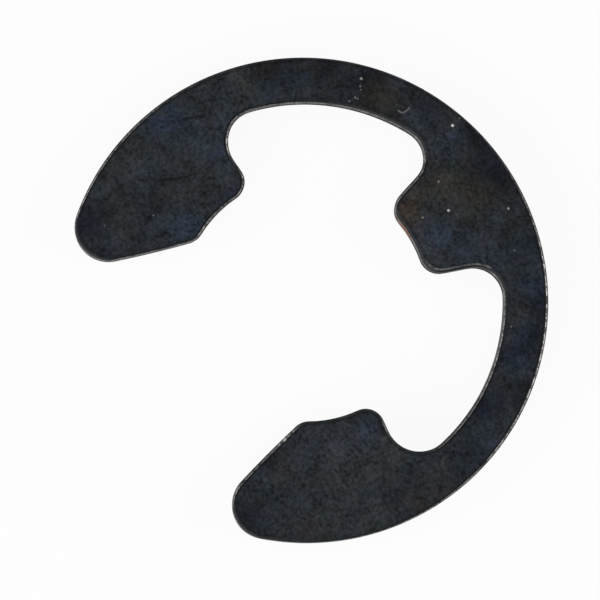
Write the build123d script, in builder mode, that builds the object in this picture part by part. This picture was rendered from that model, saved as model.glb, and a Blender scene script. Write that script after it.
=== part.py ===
from build123d import *
from math import cos, hypot, radians, sin, sqrt
import os

# E clip: a retaining clip that is pushed sideways into a groove round a shaft.
# It is one piece, blanked from flat spring steel strip. A back prong and a prong on
# each arm grip the bottom of the groove. Two relief pockets part the prongs and leave
# a band that springs, and the flared mouth lets the shaft in.
#
# The shaft's axis is Z, the mouth opens towards -Y, and the clip lies on its burr side
# at Z = 0. Sizes are in millimetres and degrees.

strip_thickness = 1.5

# Outline, seen from above
outside_diameter = 29.4
grip_diameter = 14.7  # circle through the three seats, for a groove 15 across
relief_radius = 11.8  # far wall of both relief pockets
relief_centre_y = 0.18  # sets that wall back, so the band thickens towards the arms
back_prong_angle = 37.4  # between the back prong's flanks, which point at the axis
shoulder_y = 0.55  # where the arm's shoulder meets the grip circle
shoulder_slope = 5.0  # the shoulder falls away outwards
mouth_width = 12.6  # narrowest gap, between the rounded lips
mouth_flare = 15.5  # each side of the mouth, from the Y axis

# Rounded corners of the outline
back_seat_round = 1.3
back_root_round = 1.7
arm_seat_round = 1.2
arm_root_round = 2.0
lip_round = 1.2
tip_round = 2.1

# Section of the blanked edge, from the top down: the rolled-over rim, the sheared land,
# and the break, which draws in to the burr side, where tumbling has taken off the burr
roll_over_radius = 0.2
break_height = 0.75
break_set_in = 0.05
burr_chamfer = 0.06

outside_radius = outside_diameter / 2
grip_radius = grip_diameter / 2
cutter_size = 2 * outside_diameter  # cutters run well clear of the outline
on_circle = 1e-4  # how near a corner lies to the circle it was cut on
rounded_share = 0.8  # most of a prong's flank that its two rounds may take


def mouth_half_width(y):
    """Half the mouth between its straight sides, which are tangent to the lips."""
    flare = radians(mouth_flare)
    lip_x = mouth_width / 2 + lip_round
    lip_y = -sqrt((grip_radius + lip_round) ** 2 - lip_x**2)
    side_offset = lip_x * cos(flare) + lip_y * sin(flare) - lip_round
    return (side_offset - y * sin(flare)) / cos(flare)


def rounds_on_flank(seat_round, root_round):
    """A prong's rounds at its seat and at its root, limited by the pocket's depth."""
    room = rounded_share * (relief_radius - grip_radius)
    fit = min(1, room / (seat_round + root_round))
    return seat_round * fit, root_round * fit


def corners_on(sketch, radius, centre_y=0.0):
    """The sketch's corners on a circle, lowest in Y first. Rounding one pair makes new
    corners, so they are picked afresh each time, and the pair nearest the back goes first."""
    corners = sketch.vertices().filter_by(
        lambda v: abs(hypot(v.X, v.Y - centre_y) - radius) < on_circle
    )
    return corners.group_by(Axis.Y)


arm_seat, arm_root = rounds_on_flank(arm_seat_round, arm_root_round)
back_seat, back_root = rounds_on_flank(back_seat_round, back_root_round)

# The right relief pocket is what the relief circle holds beyond the back prong's flank
# and above the arm's shoulder. The circle starts on the left, where it is cut away.
with BuildSketch() as pockets:
    with Locations(Location((0, relief_centre_y), 180)):
        Circle(relief_radius)
    with Locations(Location((0, 0), -back_prong_angle / 2)):
        Rectangle(cutter_size, cutter_size, align=(Align.MAX, Align.CENTER), mode=Mode.SUBTRACT)
    with Locations(Location((grip_radius, shoulder_y), -shoulder_slope)):
        Rectangle(cutter_size, cutter_size, align=(Align.CENTER, Align.MAX), mode=Mode.SUBTRACT)
    fillet(corners_on(pockets, relief_radius, relief_centre_y)[1], back_root)
    fillet(corners_on(pockets, relief_radius, relief_centre_y)[0], arm_root)
    mirror(about=Plane.YZ)

with BuildSketch() as mouth:
    with BuildLine():
        Polyline(
            (-mouth_half_width(0), 0),
            (mouth_half_width(0), 0),
            (mouth_half_width(-cutter_size), -cutter_size),
            (-mouth_half_width(-cutter_size), -cutter_size),
            close=True,
        )
    make_face()

# Both circles start at -Y, inside the mouth, so their seams leave no corner.
with BuildSketch() as blank:
    with Locations(Location((0, 0), -90)):
        Circle(outside_radius)
        Circle(grip_radius, mode=Mode.SUBTRACT)
    add(pockets.sketch, mode=Mode.SUBTRACT)
    add(mouth.sketch, mode=Mode.SUBTRACT)
    fillet(corners_on(blank, grip_radius)[2], back_seat)
    fillet(corners_on(blank, grip_radius)[1], arm_seat)
    fillet(corners_on(blank, grip_radius)[0], lip_round)
    fillet(corners_on(blank, outside_radius)[0], tip_round)

with BuildPart() as clip:
    with BuildSketch():
        add(blank.sketch)
    extrude(amount=strip_thickness)
    burr_side = clip.faces().sort_by(Axis.Z)[0]
    chamfer(burr_side.edges(), length=break_set_in, length2=break_height, reference=burr_side)
    chamfer(clip.faces().sort_by(Axis.Z)[0].edges(), burr_chamfer)
    fillet(clip.faces().sort_by(Axis.Z)[-1].edges(), roll_over_radius)
    clip.part.label = "e_clip"

os.makedirs("parts", exist_ok=True)
export_step(clip.part, "parts/e_clip.step")
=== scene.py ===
"""E-type retaining clip, stamped from 1.5 mm spring steel and blackened, lying burr side down.

Lengths are in metres, except in the finish, where places and widths are in millimetres. The
shaft's axis is Z, the mouth opens towards -Y and the floor is at Z = 0.
"""
from math import cos, pi, radians, sin

import bmesh
import bpy
from mathutils import Matrix, Vector, noise
from mathutils.bvhtree import BVHTree


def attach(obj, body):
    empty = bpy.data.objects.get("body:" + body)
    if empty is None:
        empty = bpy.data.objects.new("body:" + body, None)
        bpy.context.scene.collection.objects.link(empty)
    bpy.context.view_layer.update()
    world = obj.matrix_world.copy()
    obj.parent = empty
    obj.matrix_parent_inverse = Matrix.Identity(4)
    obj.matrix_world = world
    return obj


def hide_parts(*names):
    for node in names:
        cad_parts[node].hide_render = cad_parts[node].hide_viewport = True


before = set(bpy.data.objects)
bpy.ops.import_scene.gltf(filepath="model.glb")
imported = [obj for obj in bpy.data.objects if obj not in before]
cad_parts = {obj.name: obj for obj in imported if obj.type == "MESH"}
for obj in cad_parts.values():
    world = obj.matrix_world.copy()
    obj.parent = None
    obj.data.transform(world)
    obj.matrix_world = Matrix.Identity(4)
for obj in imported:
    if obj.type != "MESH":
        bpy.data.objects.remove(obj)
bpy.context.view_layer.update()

MM = 0.001

# ---------------------------------------------------------------- camera
# It looks down on the clip and leans a little towards the mouth, on its +X side.
camera_distance = 240.0 * MM
camera_lean = radians(8.04)
camera_side = radians(-67.7)
camera_turn = radians(38.2)
aim_point = Vector((-0.184, -0.212, 0.0)) * MM
sensor_width = 36.0
camera_lens = 238.5


def place_camera():
    turned = Matrix.Rotation(camera_side + pi / 2, 3, "Z")
    turned = turned @ Matrix.Rotation(camera_lean, 3, "X")
    turned = turned @ Matrix.Rotation(camera_turn, 3, "Z")
    data = bpy.data.cameras.new("camera")
    data.sensor_width = sensor_width
    data.lens = camera_lens
    data.clip_start = 0.01
    data.clip_end = 10.0
    camera = bpy.data.objects.new("camera", data)
    camera.location = aim_point + turned @ Vector((0.0, 0.0, camera_distance))
    camera.rotation_euler = turned.to_euler()
    bpy.context.scene.collection.objects.link(camera)
    bpy.context.scene.camera = camera


place_camera()

# ---------------------------------------------------------------- the blanked edge
strip_thickness = 1.5 * MM
roll_over_depth = 0.2 * MM       # how far the punch drew the top edge down
roll_over_width = 0.32 * MM      # and how far in from the edge that reaches
roll_over_uneven = 0.05 * MM     # how much more or less it reaches in places
roll_over_steps = 9
land_foot = 0.75 * MM            # above this the edge is sheared smooth, below it is torn
land_foot_uneven = 0.10 * MM
tear_lean = 0.05 * MM            # how far the tear runs in under the land
tear_depth = 0.02 * MM
tear_steps = 6
burr_chamfer = 0.06 * MM
face_strips = (0.02 * MM, 0.08 * MM, 0.12 * MM, 0.2 * MM)
station_gap = 0.15 * MM
drawn_in = 0.04 * MM             # how far the outline lies in from the solid's
land_top = strip_thickness - roll_over_depth
flat_reach = roll_over_width + sum(face_strips)

# how the edge wanders: bumps to a millimetre, and which noise it takes
foot_drift = (0.8, 3.0)
foot_ripple = (2.6, 5.0)
roll_over_drift = (0.5, 9.0)
foot_ripple_share = 0.5
# the tear's roughness, in bumps to a millimetre
tear_bumps = 3.0
tear_grit = 7.0
tear_grit_share = 0.6
tear_stretch = 0.5               # the tear's bumps are longer up and down
tear_inward = 0.6                # and go in more than they come out

upright_lean = 0.01              # an upright facet's normal leans less than this
facet_turn = radians(20)
mid_land = 1.0 * MM              # a height at which the edge stands upright all round
same_place = 0.0005 * MM
same_height = 0.001 * MM
sharp_turn = radians(28)


def upright_edge(bm):
    """Leaves only the clip's upright edge, as four-sided facets."""
    rest = [f for f in bm.faces if abs(f.normal.z) > upright_lean
            or f.calc_center_median().z < land_foot]
    bmesh.ops.delete(bm, geom=rest, context="FACES")
    bmesh.ops.join_triangles(bm, faces=bm.faces, angle_face_threshold=facet_turn,
                             angle_shape_threshold=pi)
    bm.normal_update()


def nearest_on(tree, point):
    """Where on the upright edge is nearest to a point, looking level."""
    return tree.find_nearest(Vector((point.x, point.y, mid_land)))


def bow_of(bm):
    """How far the true curve bows out from the upright edge's flat facets, at a point on them."""
    facets = []
    for f in bm.faces:
        foot = [v for v in f.verts if v.co.z < f.calc_center_median().z]
        start, end = foot[0], foot[-1]
        chord = (end.co - start.co).to_2d()
        bends = []
        for v in (start, end):
            along = Vector((-v.normal.y, v.normal.x)).normalized()
            if along.dot(chord) < 0:
                along = -along
            bends.append(along * chord.length)
        facets.append((start.co.to_2d(), end.co.to_2d(), bends[0], bends[1]))
    tree = BVHTree.FromBMesh(bm)

    def at(point):
        place, side, index, reach = nearest_on(tree, point)
        start, end, bend_in, bend_out = facets[index]
        t = (place.to_2d() - start).dot(end - start) / (end - start).length_squared
        t = min(max(t, 0.0), 1.0)
        curve = start * (2 * t**3 - 3 * t**2 + 1) + end * (3 * t**2 - 2 * t**3)
        curve = curve + bend_in * (t**3 - 2 * t**2 + t) + bend_out * (t**3 - t**2)
        return (curve - start.lerp(end, t)).to_3d()

    return at


def edge_finder(bm):
    """How far in from the upright edge a point is, and which way is out."""
    wall = bm.copy()
    rest = [f for f in wall.faces if abs(f.normal.z) > upright_lean]
    bmesh.ops.delete(wall, geom=rest, context="FACES")
    tree = BVHTree.FromBMesh(wall)
    wall.free()

    def at(point):
        place, side, index, reach = nearest_on(tree, point)
        return reach, side.normalized()

    return at


def uneven(point, bumps, which):
    """Smooth noise from -1 to 1, with about so many bumps to a millimetre."""
    return noise.noise(Vector((point.x / MM * bumps + which, point.y / MM * bumps, which)))


def torn(point):
    """Coarser noise for the torn part of the edge, from about -1 to 1."""
    p = Vector((point.x, point.y, point.z * tear_stretch)) / MM
    return noise.noise(p * tear_bumps) + tear_grit_share * noise.noise(p * tear_grit)


def stepped(bm, cap, steps):
    """Builds a cap up in strips, each so far in and so far out along the cap's own normal."""
    for inward, outward in steps:
        bmesh.ops.inset_region(bm, faces=[cap], thickness=inward, depth=outward,
                               use_boundary=True, use_even_offset=True)


def even_stations(bm):
    """Turns the upright edge into one closed line of even stations on the true curve."""
    bow = bow_of(bm)
    above = [v for v in bm.verts if v.co.z > land_foot + same_height]
    bmesh.ops.delete(bm, geom=above, context="VERTS")
    pieces = {}
    for e in bm.edges:
        pieces.setdefault(int(e.calc_length() / station_gap), []).append(e)
    for cuts in sorted(pieces):
        if cuts:
            bmesh.ops.subdivide_edges(bm, edges=pieces[cuts], cuts=cuts)
    for v in bm.verts:
        v.co += bow(v.co)


def land_plate(bm):
    """Fills the outline and raises it into a plate as thick as the land. Gives its two caps."""
    foot = bmesh.ops.contextual_create(bm, geom=bm.edges)["faces"][0]
    bm.normal_update()
    if foot.normal.z > 0:
        foot.normal_flip()
    raised = bmesh.ops.extrude_face_region(bm, geom=[foot], use_keep_orig=True)["geom"]
    top = [g for g in raised if isinstance(g, bmesh.types.BMFace)][0]
    bmesh.ops.translate(bm, verts=top.verts, vec=(0, 0, land_top - land_foot))
    bmesh.ops.recalc_face_normals(bm, faces=bm.faces)
    bm.normal_update()
    for v, out in [(v, v.normal.copy()) for v in bm.verts]:
        out.z = 0.0
        v.co -= out.normalized() * drawn_in
    bm.normal_update()
    return foot, top


def roughen_tear(v, out):
    """The foot of the smooth land wanders, and the tear below it is rough."""
    height = v.co.z
    share = min(1.0, height / land_foot)
    wander = uneven(v.co, *foot_drift) + foot_ripple_share * uneven(v.co, *foot_ripple)
    v.co.z += land_foot_uneven * share * wander
    if height < land_foot - same_height:
        v.co -= out * tear_depth * (tear_inward + torn(v.co))


def vary_roll_over(v, out, reach):
    """The roll-over is wider in some places than in others."""
    wider = roll_over_uneven * uneven(v.co, *roll_over_drift)
    share = min(reach / roll_over_width, (flat_reach - reach) / (flat_reach - roll_over_width))
    v.co -= out * wider * share


def blanked_clip():
    bm = bmesh.new()
    bm.from_mesh(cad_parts["e_clip"].data)
    bmesh.ops.remove_doubles(bm, verts=bm.verts, dist=same_place)
    bm.normal_update()
    upright_edge(bm)
    even_stations(bm)
    foot, top = land_plate(bm)
    edge = edge_finder(bm)

    # its top: the roll-over and strips of the flat face
    turns = [pi / 2 * i / roll_over_steps for i in range(roll_over_steps + 1)]
    rolled = [(roll_over_width * (cos(a) - cos(b)), roll_over_depth * (sin(b) - sin(a)))
              for a, b in zip(turns, turns[1:])]
    stepped(bm, top, rolled + [(width, 0.0) for width in face_strips])

    # its foot: the torn part, the broken burr and a strip of the underside
    tear_height = land_foot - burr_chamfer
    down = [(tear_lean / tear_steps, tear_height / tear_steps)] * tear_steps
    stepped(bm, foot, down + [(burr_chamfer, burr_chamfer), (face_strips[0], 0.0)])
    bm.normal_update()

    for v in bm.verts:
        reach, out = edge(v.co)
        if v.co.z >= land_top - same_height:
            if same_place < reach < flat_reach:
                vary_roll_over(v, out, reach)
        elif v.co.z > burr_chamfer + same_height:
            roughen_tear(v, out)

    # how far each place on the face is from the edge, in mm, for the finish
    from_edge = bm.verts.layers.float.new("from_edge")
    for v in bm.verts:
        v[from_edge] = edge(v.co)[0] / MM

    mesh = bpy.data.meshes.new("blanked_clip")
    bm.to_mesh(mesh)
    bm.free()
    mesh.shade_smooth()
    mesh.set_sharp_from_angle(angle=sharp_turn)
    clip = bpy.data.objects.new("blanked_clip", mesh)
    bpy.context.scene.collection.objects.link(clip)
    return clip


clip = blanked_clip()


# ---------------------------------------------------------------- ways to wire a finish
def feed(tree, socket, value):
    """Gives a socket a plain value, or links another node's output to it."""
    if isinstance(value, bpy.types.NodeSocket):
        tree.links.new(value, socket)
    else:
        socket.default_value = value


def put(tree, kind, settings=None, **inputs):
    """Adds a node and feeds its named inputs."""
    node = tree.nodes.new(kind)
    for name, value in (settings or {}).items():
        setattr(node, name, value)
    for name, value in inputs.items():
        feed(tree, node.inputs[name.replace("_", " ")], value)
    return node


def use(tree, group, **inputs):
    """Places a node group and gives its outputs."""
    return put(tree, "ShaderNodeGroup", {"node_tree": group}, **inputs).outputs


def calc(tree, operation, *values, clamp=False):
    """Arithmetic on numbers."""
    node = put(tree, "ShaderNodeMath", {"operation": operation, "use_clamp": clamp})
    for socket, value in zip(node.inputs, values):
        feed(tree, socket, value)
    return node.outputs[0]


def steer(tree, operation, *values, out=0):
    """Arithmetic on vectors. A distance or a dot product comes out of output 1."""
    node = put(tree, "ShaderNodeVectorMath", {"operation": operation})
    second = node.inputs["Scale"] if operation == "SCALE" else node.inputs[1]
    for socket, value in zip((node.inputs[0], second), values):
        feed(tree, socket, value)
    return node.outputs[out]


def fade(tree, value, start, end, low=0.0, high=1.0):
    """Goes smoothly from low at start to high at end, and stays there."""
    node = put(tree, "ShaderNodeMapRange", {"interpolation_type": "SMOOTHSTEP"}, Value=value,
               From_Min=start, From_Max=end, To_Min=low, To_Max=high)
    return node.outputs[0]


def grain(tree, where, scale, detail=2.0, roughness=0.5, distortion=0.0, out="Fac"):
    """Noise from 0 to 1, with about scale bumps to a millimetre."""
    node = put(tree, "ShaderNodeTexNoise", Vector=where, Scale=scale, Detail=detail,
               Roughness=roughness, Distortion=distortion)
    return node.outputs[out]


def tint(tree, share, first, second, kind="MIX"):
    """Mixes two colours."""
    node = put(tree, "ShaderNodeMix", {"data_type": "RGBA", "blend_type": kind})
    feed(tree, node.inputs[0], share)
    for index, colour in ((6, first), (7, second)):
        plain = not isinstance(colour, bpy.types.NodeSocket)
        feed(tree, node.inputs[index], (*colour, 1.0) if plain else colour)
    return node.outputs[2]


def new_group(name, inputs, outputs):
    """A node group. Inputs are (name, kind, value), outputs are (name, kind)."""
    group = bpy.data.node_groups.new(name, "ShaderNodeTree")
    for label, kind, value in inputs:
        socket = group.interface.new_socket(label, in_out="INPUT", socket_type="NodeSocket" + kind)
        if value is not None:
            socket.default_value = value
    for label, kind in outputs:
        group.interface.new_socket(label, in_out="OUTPUT", socket_type="NodeSocket" + kind)
    start = group.nodes.new("NodeGroupInput")
    end = group.nodes.new("NodeGroupOutput")
    return group, start.outputs, end.inputs


# ---------------------------------------------------------------- colours and grains
# colours are linear
blue_black = (0.0174, 0.0217, 0.0283)
brown_black = (0.0212, 0.0224, 0.0240)
# painted dark reflection: the dark band along the inside of the rim
painted_dark_reflection = (0.003, 0.004, 0.005)
hairline_black = (0.004, 0.004, 0.005)
# the upright edge's near black: its own dark steel, partly painted shade
torn_and_shaded_black = (0.002, 0.002, 0.002)
# the pale rim line: partly worn bare steel, partly a painted highlight
worn_steel_and_highlight = (0.24, 0.232, 0.222)
bare_land = (0.15, 0.145, 0.138)
dust = (0.62, 0.60, 0.55)
rust_orange = (0.11, 0.052, 0.030)
# these two multiply the skin
greener = (0.96, 1.05, 0.98)
redder = (1.05, 0.96, 1.02)

# grains: bumps to a millimetre, detail, roughness and, for the first, distortion
warm_grain = (0.32, 5.0, 0.62, 0.6)
hue_grain = (1.4, 5.0, 0.7)
cloud_grain = (0.9, 7.0, 0.70)
fine_grain = (4.5, 3.0, 0.65)
pit_grain = (5.0, 2.0, 0.6)
pit_gathering = (0.8, 3.0, 0.6)
ragged_grain = (0.9, 4.0, 0.65)
wander_grain = (1.6, 3.0)
broken_grain = (5.0, 2.0)
rim_line_grain = (3.0, 5.0, 0.75)
foot_grain = (1.5, 4.0, 0.7)
streak_grain = (9.0, 4.0, 0.75)
scuff_grain = (1.3, 3.0, 0.7)
blotch_grain = (1.6, 5.0, 0.7)
tear_grain = (7.0, 5.0, 0.75)
# where each fades in or out and, for some, its value before and after
warm_fade = (0.30, 0.70)
hue_fade = (0.35, 0.65)
pit_fade = (0.48, 0.40)
gap_fade = (0.1, 0.3)
rim_line_fade = (0.40, 0.60, 0.1, 1.0)
streak_fade = (0.35, 0.65, 0.3, 1.0)
scuff_fade = (0.38, 0.58, 0.35, 1.0)
rust_streak_fade = (0.3, 0.6, 0.5, 1.0)
# how far some of them are moved, so that no two line up
hue_shift = (2.0, 5.0, 8.0)
cloud_shift = (7.0, 3.0, 1.0)
fine_shift = (1.0, 9.0, 4.0)
gathering_shift = (4.0, 4.0, 2.0)
halfway = (0.5, 0.5, 0.5)        # the middle of a grain's colour
level_only = (1.0, 1.0, 0.0)     # multiplying by this drops the height

# the black oxide
cloud_strength = 2.5
fine_strength = 3.0
least_level = 0.2
least_tone = (0.25, 0.25, 0.25)
pit_turn = (0, 0, radians(-60.0))
pit_stretch = (0.55, 1.0, 1.0)
pits_gathered = 0.25
pit_dark = 0.75

# what each kind of patch adds to the skin's red, green and blue
tones = {
    "blue": (-0.05, 0.12, 0.45), "brown": (0.34, 0.16, -0.10), "dark": (-0.45, -0.45, -0.38),
    "pale": (0.35, 0.33, 0.30), "rust": (0.62, 0.22, -0.02),
}
ragged_reach = 2.2               # how far a patch's outline is pushed about
# where a mark fades, from its middle, in shares of its own reach or width
patch_fade = (1.35, 0.1)
speck_fade = (1.2, 0.4)
line_fade = (1.0, 0.3)
# kind, x, y, reach and strength
patches = [
    # the -X arm and its prong
    ("blue", -7.1, -4.3, 1.4, 1.1), ("pale", -7.4, -5.3, 1.5, 0.9), ("blue", -11.0, -0.4, 1.6, 0.7),
    ("blue", -13.6, -2.4, 1.5, 1.2), ("brown", -8.7, -3.8, 1.2, 0.3), ("blue", -6.6, -9.6, 1.2, 0.6),
    ("blue", -7.2, -0.8, 1.1, 0.8), ("blue", -9.1, -0.4, 1.0, 0.7), ("dark", -7.6, -1.4, 1.0, 0.4),
    ("pale", -12.0, -5.6, 1.7, 0.4), ("pale", -10.5, -1.4, 1.8, 0.5), ("pale", -12.6, -0.6, 1.6, 0.4),
    ("blue", -12.3, -2.6, 1.2, 0.3), ("brown", -10.6, -7.4, 1.6, 0.3), ("dark", -10.5, -9.2, 1.4, 1.3),
    ("dark", -10.4, -7.0, 1.4, 0.35), ("dark", -9.2, -4.9, 0.9, 0.5), ("blue", -8.4, -8.6, 1.2, 0.4),
    # round the ring to the back prong
    ("pale", -12.6, 2.0, 1.6, 0.6), ("blue", -12.0, 1.1, 0.9, 0.6), ("blue", -12.0, 4.4, 0.9, 0.8),
    ("pale", -12.8, 3.6, 1.2, 0.4), ("brown", -13.6, 2.9, 0.9, 0.6), ("blue", -11.8, 6.2, 0.9, 0.9),
    ("brown", -13.4, 4.9, 0.9, 0.6), ("dark", -10.2, 8.9, 0.9, 0.6), ("dark", -12.8, 5.4, 1.6, 1.1),
    ("dark", -11.6, 8.0, 1.2, 1.1), ("dark", -9.7, 10.2, 1.2, 1.2), ("dark", -6.3, 12.4, 1.1, 0.8),
    ("dark", -7.6, 10.4, 1.5, 0.5), ("dark", -8.9, 9.0, 1.0, 0.8), ("brown", -8.2, 10.0, 1.5, 1.0),
    ("blue", -8.6, 11.6, 0.8, 0.6), ("dark", -7.4, 12.4, 1.2, 0.5), ("blue", -6.2, 11.6, 1.2, 0.4),
    ("pale", -4.8, 11.6, 1.2, 0.5), ("brown", -4.6, 11.2, 1.0, 0.3), ("blue", -4.4, 12.0, 1.3, 0.9),
    ("dark", -3.2, 14.0, 1.4, 1.2), ("brown", -3.0, 13.2, 1.0, 0.4), ("dark", -1.2, 13.0, 1.8, 1.0),
    ("dark", -0.4, 14.3, 1.3, 1.0), ("dark", 1.3, 14.2, 1.2, 0.6),
    # the back prong
    ("rust", -1.5, 7.8, 1.1, 1.3), ("brown", -1.9, 9.0, 1.1, 0.7), ("brown", -1.4, 10.0, 1.4, 0.5),
    ("brown", -2.1, 10.9, 1.4, 0.9), ("brown", 0.2, 11.3, 1.3, 0.6), ("brown", -0.6, 12.2, 1.3, 0.8),
    ("blue", 0.6, 8.9, 0.9, 0.8), ("blue", 2.0, 9.6, 1.4, 0.7), ("pale", 0.8, 7.9, 1.6, 1.0),
    ("pale", 2.4, 8.8, 1.2, 0.3),
    # on round to the +X arm
    ("blue", 3.6, 10.9, 1.4, 0.9), ("pale", 2.9, 11.0, 1.2, 0.5), ("dark", 5.4, 10.6, 0.9, 0.5),
    ("blue", 4.2, 13.0, 1.3, 0.4), ("dark", 3.6, 13.2, 1.3, 0.8), ("blue", 6.0, 12.4, 1.5, 0.7),
    ("dark", 7.2, 12.4, 1.4, 1.1), ("blue", 9.7, 9.4, 1.2, 0.8), ("blue", 8.4, 10.3, 1.2, 0.9),
    ("dark", 9.0, 8.8, 1.0, 0.7), ("dark", 9.0, 11.0, 1.5, 1.2), ("dark", 10.9, 6.0, 1.3, 1.4),
    ("dark", 11.4, 8.4, 1.2, 1.3), ("blue", 11.4, 6.8, 1.0, 0.4), ("blue", 12.4, 5.6, 1.2, 0.5),
    ("pale", 12.8, 6.0, 0.9, 0.4), ("dark", 12.9, 3.6, 1.4, 0.8), ("pale", 12.9, 2.6, 1.3, 0.7),
    ("dark", 13.8, -0.2, 1.4, 0.4), ("brown", 14.0, -0.6, 1.0, 0.6), ("brown", 13.8, 1.4, 1.5, 0.6),
    ("dark", 13.8, 2.4, 1.1, 0.7), ("pale", 9.6, -2.6, 2.2, 1.0), ("blue", 8.2, -4.2, 1.8, 0.6),
    ("blue", 8.8, -1.0, 1.3, 1.0), ("pale", 10.0, 0.2, 1.4, 0.9), ("pale", 13.0, -3.6, 1.8, 0.7),
    ("dark", 7.3, -6.9, 0.9, 0.9), ("blue", 7.6, -8.0, 1.1, 0.5), ("dark", 9.5, -9.5, 1.4, 1.2),
    ("pale", 11.2, -5.6, 1.3, 0.6), ("blue", 10.4, -8.9, 1.0, 0.5), ("brown", 12.4, -6.4, 1.5, 0.4),
]
# dark hairlines: from x, y to x, y, width, and how broken up each is
hairlines = [
    (-11.2, -5.3, -10.6, -4.4, 0.14, 0.6), (-10.5, -4.2, -10.0, -3.0, 0.15, 0.3),
    (-10.0, -3.0, -9.8, -2.2, 0.11, 0.4), (-10.7, -3.9, -10.3, -3.1, 0.10, 0.6),
    (-9.4, -1.9, -9.0, -1.2, 0.11, 0.5), (-13.0, -1.1, -12.6, 0.0, 0.16, 0.3),
    (-11.9, -0.1, -11.4, 0.5, 0.13, 0.4), (-8.6, -6.2, -8.9, -5.5, 0.16, 0.3),
    (-13.0, -5.3, -11.8, -4.7, 0.08, 0.9),
]
hairline_share = 0.75
# grains of dust, and chips on the mouth side of the +X arm: x, y, reach and strength
specks = [
    (-9.98, 9.52, 0.10, 0.40), (-9.60, 9.24, 0.08, 0.18), (-9.40, 9.16, 0.05, 0.2),
    (-9.15, 8.62, 0.08, 0.22), (-9.02, 8.72, 0.06, 0.2), (-9.13, 8.20, 0.07, 0.22),
    (-4.80, 12.95, 0.10, 1.0), (-2.25, 10.49, 0.07, 0.3), (-0.43, 10.14, 0.09, 0.75),
    (-0.83, 8.55, 0.08, 0.25), (1.24, 13.39, 0.08, 0.5), (-4.97, 13.54, 0.05, 0.3),
    (3.63, 12.43, 0.06, 0.2), (7.53, 9.95, 0.06, 0.2), (-8.83, -5.57, 0.07, 0.2),
    (-9.73, -8.43, 0.05, 0.15),
    (6.73, -5.34, 0.09, 0.8), (6.76, -5.44, 0.08, 0.6), (6.84, -5.80, 0.08, 0.4),
    (6.65, -5.08, 0.06, 0.3), (6.54, -4.67, 0.07, 0.3), (6.94, -6.18, 0.06, 0.2),
]
# a pale fibre that lies curled on the face
fibre = [(-7.20, 10.52), (-7.07, 10.56), (-6.95, 10.68), (-6.93, 10.86), (-6.96, 11.00),
         (-7.00, 11.18)]
fibre_width = 0.07
fibre_broken = 0.3
fibre_share = 0.16

# The rim carries a broken pale line, a little in from the edge, partly steel rubbed bare and
# partly a painted highlight. The line hardly shows where the edge faces the first way, away
# from the lamps, and lies less far in where it faces the second.
unlit_side = (cos(radians(135.0)), sin(radians(135.0)), 0.0)
shallow_side = (cos(radians(-67.7)), sin(radians(-67.7)), 0.0)
shallower = 0.20
unlit_fade = (0.4, 0.9)
rim_line_reach = (0.185, 0.130)
rim_line_where_unlit = 0.1
line_off_rim = (0.04, 0.10)        # the pale line stops short of the outermost rim
line_off_rim_less = 0.1                # but not where the line lies less far in
band_reach = (0.31, 0.23)        # inside the line a dark band is painted, a painted dark reflection
band_where_unlit = 0.5
band_share = 0.85
band_spread_reach = (0.40, 0.22)        # and it goes on further in where the line lies less far in
band_spread_share = 0.6
# beside the back prong the land is painted darker, as painted shade in the concave corner, and the
# line lies further in
dark_land = (3.0, 8.9)
dark_land_reach = 2.2
dark_land_fade = 0.8 * dark_land_reach
further_start = (0.08, 0.14)
further_end = (0.25, 0.18)
further_share = 0.6

# the sheared land and the tear below it
foot_height = 0.60
foot_swing = 0.26
foot_soft = 0.03
streak_stretch = (1.0, 1.0, 0.04)
dark_land_bare = 0.25
black_share = 0.6
rusted_place = (-0.8, 7.3)
rust_reach = 1.2
rust_blotched = 2.4

# gloss and relief
top_side_fade = (0.2, 0.6)
face_rough = 0.44
pits_rougher = 0.2
rim_line_smoother = 0.10
rim_line_metal = 0.6
dust_rougher = 0.4
face_gloss = 0.12
face_relief = 0.004 * MM
face_bump = 0.35
edge_contrast = 1.2
torn_rough = 0.75
land_rough = 0.55
edge_gloss = 0.04
edge_relief = 0.02 * MM
edge_bump = 0.6
streak_relief = 0.3


# ---------------------------------------------------------------- effects
def make_soft_patch():
    """Adds a ragged-edged patch of a tone to the tones gathered so far."""
    g, i, o = new_group("soft_patch", [("Where", "Vector", None), ("Ragged", "Vector", None),
                                       ("Centre", "Vector", None), ("Reach", "Float", 1.0),
                                       ("Tone", "Vector", None), ("Tones", "Vector", None)],
                        [("Tones", "Vector")])
    moved = steer(g, "ADD", i["Where"], i["Ragged"])
    apart = steer(g, "DISTANCE", moved, i["Centre"], out=1)
    mask = fade(g, calc(g, "DIVIDE", apart, i["Reach"]), *patch_fade)
    own = steer(g, "SCALE", i["Tone"], mask)
    g.links.new(steer(g, "ADD", i["Tones"], own), o["Tones"])
    return g


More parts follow.
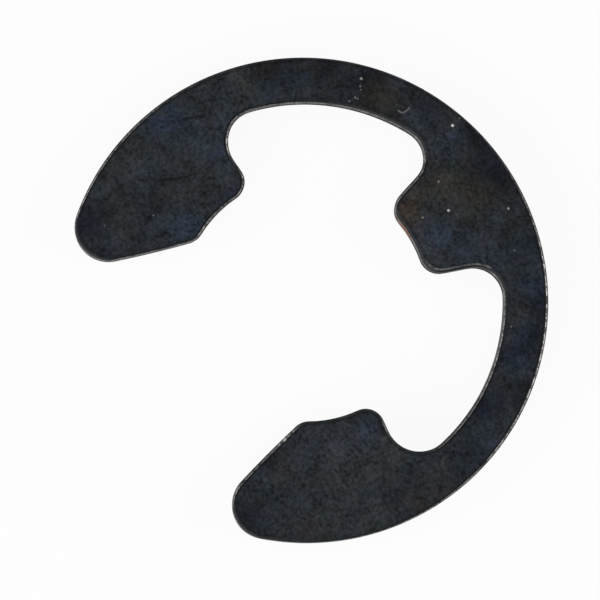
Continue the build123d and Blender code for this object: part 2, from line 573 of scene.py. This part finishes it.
def make_hairline():
    """A thin line from one place to another, which wanders and breaks up."""
    g, i, o = new_group("hairline", [("Where", "Vector", None), ("From", "Vector", None),
                                     ("To", "Vector", None), ("Width", "Float", 0.05),
                                     ("Wander", "Float", 0.35), ("Broken", "Float", 0.5),
                                     ("Marks", "Float", 0.0)],
                        [("Marks", "Float")])
    shake = steer(g, "SUBTRACT", grain(g, i["Where"], *wander_grain, out="Color"), halfway)
    moved = steer(g, "ADD", i["Where"], steer(g, "SCALE", shake, i["Wander"]))
    run = steer(g, "SUBTRACT", i["To"], i["From"])
    start = steer(g, "SUBTRACT", moved, i["From"])
    along = calc(g, "DIVIDE", steer(g, "DOT_PRODUCT", start, run, out=1),
                 steer(g, "DOT_PRODUCT", run, run, out=1), clamp=True)
    off = steer(g, "DISTANCE", start, steer(g, "SCALE", run, along), out=1)
    line = fade(g, calc(g, "DIVIDE", off, i["Width"]), *line_fade)
    gaps = calc(g, "SUBTRACT", grain(g, i["Where"], *broken_grain),
                calc(g, "MULTIPLY", i["Broken"], 0.5))
    own = calc(g, "MULTIPLY", line, fade(g, gaps, *gap_fade))
    g.links.new(calc(g, "MAXIMUM", i["Marks"], own), o["Marks"])
    return g


def make_speck():
    """A small pale spot, such as a grain of dust."""
    g, i, o = new_group("speck", [("Where", "Vector", None), ("Centre", "Vector", None),
                                  ("Reach", "Float", 0.06), ("Strength", "Float", 1.0),
                                  ("Marks", "Float", 0.0)],
                        [("Marks", "Float")])
    off = steer(g, "DISTANCE", i["Where"], i["Centre"], out=1)
    mask = fade(g, calc(g, "DIVIDE", off, i["Reach"]), *speck_fade)
    own = calc(g, "MULTIPLY", mask, i["Strength"])
    g.links.new(calc(g, "MAXIMUM", i["Marks"], own), o["Marks"])
    return g


def make_shaded_stretch():
    """1 along the stretch of edge beside the back prong where shade is painted on, 0 elsewhere."""
    g, i, o = new_group("shaded_stretch", [("Where", "Vector", None)], [("Mask", "Float")])
    apart = steer(g, "DISTANCE", i["Where"], (*dark_land, 0.0), out=1)
    g.links.new(fade(g, apart, dark_land_reach, dark_land_fade), o["Mask"])
    return g


def make_black_oxide():
    """The blackened skin: blue-black to brown-black, mottled, with dark pits."""
    g, i, o = new_group("black_oxide", [("Where", "Vector", None), ("Tones", "Vector", None),
                                        ("Contrast", "Float", 1.0)],
                        [("Color", "Color"), ("Pits", "Float"), ("Height", "Float")])
    where = i["Where"]
    warm = grain(g, where, *warm_grain)
    skin = tint(g, fade(g, warm, *warm_fade), blue_black, brown_black)
    hue = grain(g, steer(g, "ADD", where, hue_shift), *hue_grain)
    skin = tint(g, fade(g, hue, *hue_fade), tint(g, 1.0, skin, greener, "MULTIPLY"),
                tint(g, 1.0, skin, redder, "MULTIPLY"))

    # clouds and fine mottling
    cloud = grain(g, steer(g, "ADD", where, cloud_shift), *cloud_grain)
    fine = grain(g, steer(g, "ADD", where, fine_shift), *fine_grain)
    level = calc(g, "ADD", calc(g, "MULTIPLY", calc(g, "SUBTRACT", cloud, 0.5), cloud_strength),
                 calc(g, "MULTIPLY", calc(g, "SUBTRACT", fine, 0.5), fine_strength))
    level = calc(g, "ADD", calc(g, "MULTIPLY", level, i["Contrast"]), 1.0)
    level = calc(g, "MAXIMUM", level, least_level)

    # pits, drawn out one way and gathered in places
    turned = put(g, "ShaderNodeMapping", Vector=where, Rotation=pit_turn, Scale=pit_stretch)
    pitted = grain(g, turned.outputs[0], *pit_grain)
    gathered = grain(g, steer(g, "ADD", where, gathering_shift), *pit_gathering)
    pits = calc(g, "ADD", pitted, calc(g, "MULTIPLY", gathered, pits_gathered))
    pits = fade(g, pits, *pit_fade)
    darkened = calc(g, "SUBTRACT", 1.0, calc(g, "MULTIPLY", pits, pit_dark))
    level = calc(g, "MULTIPLY", level, darkened)

    patched = steer(g, "ADD", i["Tones"], (1.0, 1.0, 1.0))
    skin = steer(g, "MULTIPLY", skin, steer(g, "MAXIMUM", patched, least_tone))
    g.links.new(steer(g, "SCALE", skin, level), o["Color"])
    g.links.new(pits, o["Pits"])
    g.links.new(calc(g, "SUBTRACT", calc(g, "MULTIPLY", fine, 0.5), pits), o["Height"])
    return g


soft_patch = make_soft_patch()
hairline = make_hairline()
speck = make_speck()
shaded_stretch = make_shaded_stretch()
black_oxide = make_black_oxide()


# ---------------------------------------------------------------- the two finishes
def new_finish(name):
    """A material, with its shader and where a point is on the clip, in mm and seen level."""
    material = bpy.data.materials.new(name)
    material.use_nodes = True
    tree = material.node_tree
    place = tree.nodes.new("ShaderNodeTexCoord").outputs["Object"]
    where = steer(tree, "SCALE", place, 1.0 / MM)
    spot = steer(tree, "MULTIPLY", where, level_only)
    return material, tree, tree.nodes["Principled BSDF"], where, spot


def patched_oxide(tree, where, spot):
    """The face's skin, with all its patches."""
    ragged = steer(tree, "SUBTRACT", grain(tree, where, *ragged_grain, out="Color"), halfway)
    ragged = steer(tree, "MULTIPLY", steer(tree, "SCALE", ragged, ragged_reach), level_only)
    gathered = (0.0, 0.0, 0.0)
    for kind, x, y, reach, strength in patches:
        tone = [strength * part for part in tones[kind]]
        gathered = use(tree, soft_patch, Where=spot, Ragged=ragged, Centre=(x, y, 0.0),
                       Reach=reach, Tone=tone, Tones=gathered)["Tones"]
    return use(tree, black_oxide, Where=where, Tones=gathered, Contrast=1.0)


def dark_lines(tree, spot):
    """The hairlines drawn across the skin."""
    lines = 0.0
    for x0, y0, x1, y1, width, broken in hairlines:
        lines = use(tree, hairline, Where=spot, From=(x0, y0, 0.0), To=(x1, y1, 0.0),
                    Width=width, Broken=broken, Marks=lines)["Marks"]
    return calc(tree, "MULTIPLY", lines, hairline_share)


def dust_and_chips(tree, spot):
    """The fibre, the dust and the chips."""
    dusty = 0.0
    for start, end in zip(fibre, fibre[1:]):
        dusty = use(tree, hairline, Where=spot, From=(*start, 0.0), To=(*end, 0.0), Wander=0.0,
                    Width=fibre_width, Broken=fibre_broken, Marks=dusty)["Marks"]
    dusty = calc(tree, "MULTIPLY", dusty, fibre_share)
    for x, y, reach, strength in specks:
        dusty = use(tree, speck, Where=spot, Centre=(x, y, 0.0), Reach=reach,
                    Strength=strength, Marks=dusty)["Marks"]
    return dusty


def rim_wear_shade_and_highlight(tree, where, spot, from_edge, facing):
    """Where a dark band beside the rim is painted as a dark reflection, and where the pale rim line
    is, partly rubbed bare steel and partly a painted highlight.
    """
    outward = steer(tree, "NORMALIZE", steer(tree, "MULTIPLY", facing, level_only))
    unlit = steer(tree, "DOT_PRODUCT", outward, unlit_side, out=1)
    shallow = calc(tree, "MAXIMUM", steer(tree, "DOT_PRODUCT", outward, shallow_side, out=1), 0.0)
    inward = calc(tree, "ADD", from_edge, calc(tree, "MULTIPLY", shallow, shallower))

    # painted dark reflection beside the rim, spreading further in on one side
    band_spread = calc(tree, "MULTIPLY", shallow, fade(tree, from_edge, *band_spread_reach, 0.0, band_spread_share))
    dark_reflection_band = calc(tree, "MULTIPLY", fade(tree, inward, *band_reach),
                fade(tree, unlit, *unlit_fade, 1.0, band_where_unlit))
    dark_reflection_band = calc(tree, "MULTIPLY", calc(tree, "MAXIMUM", dark_reflection_band, band_spread), band_share)

    outmost = calc(tree, "ADD", from_edge, calc(tree, "MULTIPLY", shallow, line_off_rim_less))
    # painted highlight, partly real wear: the pale rim line, faint where the edge faces away from the
    # lamps
    worn_and_highlight = calc(tree, "MULTIPLY", fade(tree, inward, *rim_line_reach),
                fade(tree, unlit, *unlit_fade, 1.0, rim_line_where_unlit))
    worn_and_highlight = calc(tree, "MULTIPLY", worn_and_highlight, fade(tree, outmost, *line_off_rim))
    further = calc(tree, "MULTIPLY", fade(tree, from_edge, *further_start),
                   fade(tree, from_edge, *further_end, 0.0, further_share))
    beside = use(tree, shaded_stretch, Where=spot)["Mask"]
    worn_and_highlight = calc(tree, "ADD", calc(tree, "MULTIPLY", worn_and_highlight, calc(tree, "SUBTRACT", 1.0, beside)),
                calc(tree, "MULTIPLY", further, beside))
    rim_line_breaks = grain(tree, where, *rim_line_grain)
    return dark_reflection_band, calc(tree, "MULTIPLY", worn_and_highlight, fade(tree, rim_line_breaks, *rim_line_fade))


def face_finish():
    """The flat face and the roll-over round it."""
    material, tree, shader, where, spot = new_finish("blackened_spring_steel")
    from_edge = put(tree, "ShaderNodeAttribute", {"attribute_name": "from_edge"}).outputs["Fac"]
    facing = tree.nodes.new("ShaderNodeNewGeometry").outputs["Normal"]
    up = put(tree, "ShaderNodeSeparateXYZ", Vector=facing).outputs["Z"]
    top_side = fade(tree, up, *top_side_fade)

    oxide = patched_oxide(tree, where, spot)
    dark_reflection_band, worn_and_highlight = rim_wear_shade_and_highlight(tree, where, spot, from_edge, facing)
    dusty = dust_and_chips(tree, spot)
    skin = tint(tree, dark_lines(tree, spot), oxide["Color"], hairline_black)
    # painted dark reflection along the inside of the rim
    skin = tint(tree, dark_reflection_band, skin, painted_dark_reflection)
    # the pale rim line: partly bare worn steel, partly a painted highlight
    skin = tint(tree, worn_and_highlight, skin, worn_steel_and_highlight)
    skin = tint(tree, calc(tree, "MULTIPLY", dusty, top_side), skin, dust)
    tree.links.new(skin, shader.inputs["Base Color"])

    # bare steel is smoother than the skin, pits and dust are rougher
    tree.links.new(calc(tree, "MULTIPLY", worn_and_highlight, rim_line_metal), shader.inputs["Metallic"])
    rough = calc(tree, "ADD", face_rough, calc(tree, "MULTIPLY", oxide["Pits"], pits_rougher))
    rough = calc(tree, "SUBTRACT", rough, calc(tree, "MULTIPLY", worn_and_highlight, rim_line_smoother))
    rough = calc(tree, "ADD", rough, calc(tree, "MULTIPLY", dusty, dust_rougher), clamp=True)
    tree.links.new(rough, shader.inputs["Roughness"])
    shader.inputs["Specular IOR Level"].default_value = face_gloss
    bump = put(tree, "ShaderNodeBump", Strength=face_bump, Distance=face_relief,
               Height=oxide["Height"])
    tree.links.new(bump.outputs["Normal"], shader.inputs["Normal"])
    return material


def edge_finish():
    """The sheared land, streaked by the punch, over the dark torn part. The edge is darkened towards
    near black, partly as painted shade.
    """
    material, tree, shader, where, spot = new_finish("sheared_and_torn_edge")
    oxide = use(tree, black_oxide, Where=where, Tones=(0.0, 0.0, 0.0), Contrast=edge_contrast)
    height = put(tree, "ShaderNodeSeparateXYZ", Vector=where).outputs["Z"]
    foot = calc(tree, "MULTIPLY", grain(tree, spot, *foot_grain), foot_swing)
    foot = calc(tree, "ADD", foot_height, foot)
    land = fade(tree, calc(tree, "SUBTRACT", height, foot), -foot_soft, foot_soft)

    # the land is bare in streaks, less so where it is scuffed, and painted darker beside the back
    # prong as painted shade
    streaks = grain(tree, steer(tree, "MULTIPLY", where, streak_stretch), *streak_grain)
    scuffed = grain(tree, spot, *scuff_grain)
    dark = use(tree, shaded_stretch, Where=spot)["Mask"]
    bare = calc(tree, "MULTIPLY", land, fade(tree, streaks, *streak_fade))
    bare = calc(tree, "MULTIPLY", bare, fade(tree, scuffed, *scuff_fade))
    # painted shade: beside the back prong the land stays darker
    bare = calc(tree, "MULTIPLY", bare, fade(tree, dark, 0.0, 1.0, 1.0, dark_land_bare))
    # darkened towards near black: its own dark steel and partly painted shade
    black = tint(tree, black_share, oxide["Color"], torn_and_shaded_black)
    skin = tint(tree, bare, black, bare_land)

    # rust on the back prong's seat
    apart = steer(tree, "DISTANCE", spot, (*rusted_place, 0.0), out=1)
    blotched = calc(tree, "SUBTRACT", grain(tree, where, *blotch_grain), 0.5)
    apart = calc(tree, "ADD", apart, calc(tree, "MULTIPLY", blotched, rust_blotched))
    rusty = calc(tree, "MULTIPLY", fade(tree, apart, rust_reach, 0.0),
                 fade(tree, streaks, *rust_streak_fade))
    skin = tint(tree, rusty, skin, rust_orange)
    tree.links.new(skin, shader.inputs["Base Color"])

    tree.links.new(fade(tree, land, 0.0, 1.0, torn_rough, land_rough), shader.inputs["Roughness"])
    shader.inputs["Specular IOR Level"].default_value = edge_gloss
    tear = grain(tree, where, *tear_grain)
    relief = calc(tree, "ADD", calc(tree, "MULTIPLY", calc(tree, "SUBTRACT", 1.0, land), tear),
                  calc(tree, "MULTIPLY", calc(tree, "MULTIPLY", land, streaks), streak_relief))
    bump = put(tree, "ShaderNodeBump", Strength=edge_bump, Distance=edge_relief, Height=relief)
    tree.links.new(bump.outputs["Normal"], shader.inputs["Normal"])
    return material


clip.data.materials.clear()
clip.data.materials.append(face_finish())
clip.data.materials.append(edge_finish())
for face in clip.data.polygons:
    if 0.5 * burr_chamfer < face.center.z < land_top:
        face.material_index = 1
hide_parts("e_clip")
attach(clip, "root")

# ---------------------------------------------------------------- floor and light
table_size = 4.0
table_white = 0.85
background_share = 0.93          # how much of the plain white the table shows the camera
room_light = 0.3
lamp_power = 6.0
lamp_height = 16.0               # in degrees above the table
lamp_distance = 0.8
lamp_size = (0.8, 0.3)
lamp_sides = {"left_box": 240.5, "right_box": 60.5, "front_box": -62.0}


def white_floor():
    bpy.ops.mesh.primitive_plane_add(size=table_size)
    floor = bpy.context.object
    floor.name = "floor"
    paper = bpy.data.materials.new("white_table")
    paper.use_nodes = True
    tree = paper.node_tree
    tree.nodes.clear()
    lit = put(tree, "ShaderNodeBsdfDiffuse", Color=(table_white, table_white, table_white, 1.0))
    plain = put(tree, "ShaderNodeEmission", Strength=1.0)
    rays = tree.nodes.new("ShaderNodeLightPath").outputs
    seen = calc(tree, "MAXIMUM", rays["Is Camera Ray"], rays["Is Glossy Ray"])
    seen = calc(tree, "MAXIMUM", seen, rays["Is Transmission Ray"])
    both = tree.nodes.new("ShaderNodeMixShader")
    tree.links.new(calc(tree, "MULTIPLY", seen, background_share), both.inputs[0])
    tree.links.new(lit.outputs[0], both.inputs[1])
    tree.links.new(plain.outputs[0], both.inputs[2])
    out = tree.nodes.new("ShaderNodeOutputMaterial")
    tree.links.new(both.outputs[0], out.inputs[0])
    floor.data.materials.append(paper)


def studio_air():
    """White to the camera, and a soft light on the clip."""
    world = bpy.data.worlds.new("studio")
    bpy.context.scene.world = world
    world.use_nodes = True
    tree = world.node_tree
    air = tree.nodes["Background"]
    rays = tree.nodes.new("ShaderNodeLightPath").outputs
    level = put(tree, "ShaderNodeMapRange", Value=rays["Is Camera Ray"],
                To_Min=room_light, To_Max=1.0)
    tree.links.new(level.outputs[0], air.inputs["Strength"])
    air.inputs["Color"].default_value = (1.0, 1.0, 1.0, 1.0)


def soft_box(name, side):
    """A rectangular lamp that faces the clip from a side, in degrees."""
    data = bpy.data.lights.new(name, "AREA")
    data.shape = "RECTANGLE"
    data.size, data.size_y = lamp_size
    data.energy = lamp_power
    lamp = bpy.data.objects.new(name, data)
    side, height = radians(side), radians(lamp_height)
    away = Vector((cos(side) * cos(height), sin(side) * cos(height), sin(height)))
    lamp.location = away * lamp_distance
    lamp.rotation_euler = away.to_track_quat("Z", "Y").to_euler()
    bpy.context.scene.collection.objects.link(lamp)


white_floor()
studio_air()
for name, side in lamp_sides.items():
    soft_box(name, side)

scene = bpy.context.scene
scene.view_settings.view_transform = "Standard"
